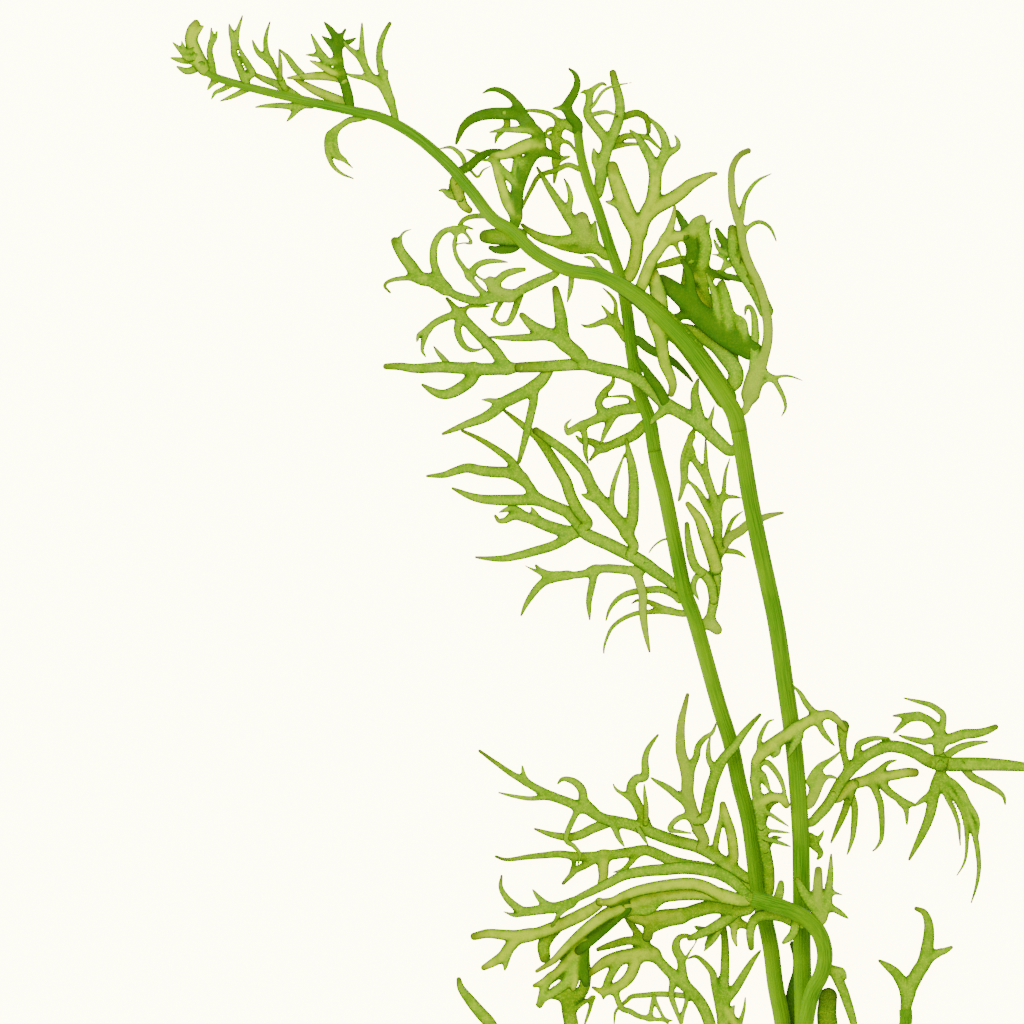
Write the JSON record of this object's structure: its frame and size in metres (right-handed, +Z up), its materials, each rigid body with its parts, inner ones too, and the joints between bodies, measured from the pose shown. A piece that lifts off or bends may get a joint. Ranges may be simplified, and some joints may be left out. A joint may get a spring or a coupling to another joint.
{
  "type": "water sprite",
  "caption": "Water sprite, an aquarium fern, as picked: finely forked yellow-green leaves on long curved stalks, lying flat.",
  "frame": {"origin": "centre of the plant's box, on the surface that it lies on", "axes": "+Z up from that surface; +Y from the roots towards the leaf tips, the plant's longest side; +X to its right"},
  "size_m": [0.2192, 0.291, 0.029],
  "materials": {
    "leaves": "satin, thin and translucent yellow-green",
    "stems": "satin bright green with a darker stripe",
    "rootstock": "rough dark green-brown",
    "roots": "dull brown"
  },
  "bodies": {
    "root": {"bend_left_leaf": "leaves", "bend_right_leaf": "leaves", "crest_leaf": "leaves", "dark_crossing_leaf": "leaves", "dark_diagonal_leaf": "leaves", "dark_end_leaf": "leaves", "dark_sheath_leaf": "leaves", "eighth_leaf_left": "leaves", "eighth_leaf_right": "leaves", "end_leaf": "leaves", "fifth_frond_leaf": "leaves", "forked_middle_leaf": "leaves", "frond_1_rachis": "stems", "frond_1_stalk": "stems", "frond_2_rachis": "stems", "frond_2_stalk": "stems", "frond_3_stalk": "stems", "frond_5_stalk": "stems", "front_end_leaf": "leaves", "front_upright_leaf": "leaves", "front_yellow_leaf": "leaves", "hooked_end_leaf": "leaves", "inner_leaf_stem": "leaves", "knotted_leaf": "leaves", "left_branch": "leaves", "left_branch_end_leaf": "leaves", "left_branch_lower_leaf": "leaves", "left_branch_upper_leaf": "leaves", "left_upright_leaf": "leaves", "long_left_inner_leaf": "leaves", "long_left_leaf": "leaves", "long_left_side_leaf": "leaves", "low_frond_stalk": "stems", "low_left_branch": "leaves", "low_left_leaf": "leaves", "low_left_under_leaf": "leaves", "low_right_branch": "leaves", "low_right_hanging_leaf": "leaves", "low_right_upper_leaf": "leaves", "low_right_yellow_leaf": "leaves", "lower_front_leaf": "leaves", "lower_left_leaf": "leaves", "middle_front_leaf": "leaves", "middle_right_leaf": "leaves", "middle_upper_leaf": "leaves", "outer_upright_end_leaf": "leaves", "right_leaf": "leaves", "right_upright_leaf": "leaves", "roots": "roots", "rootstock": "rootstock", "seventh_leaf": "leaves", "short_blunt_leaf": "leaves", "strip_leaf": "leaves", "top_left_leaf": "leaves", "top_right_leaf": "leaves", "upper_front_leaf": "leaves", "upright_end_leaf": "leaves", "yellow_fork_leaf": "leaves", "yellow_forked_leaf": "leaves"}
  },
  "joints": []
}
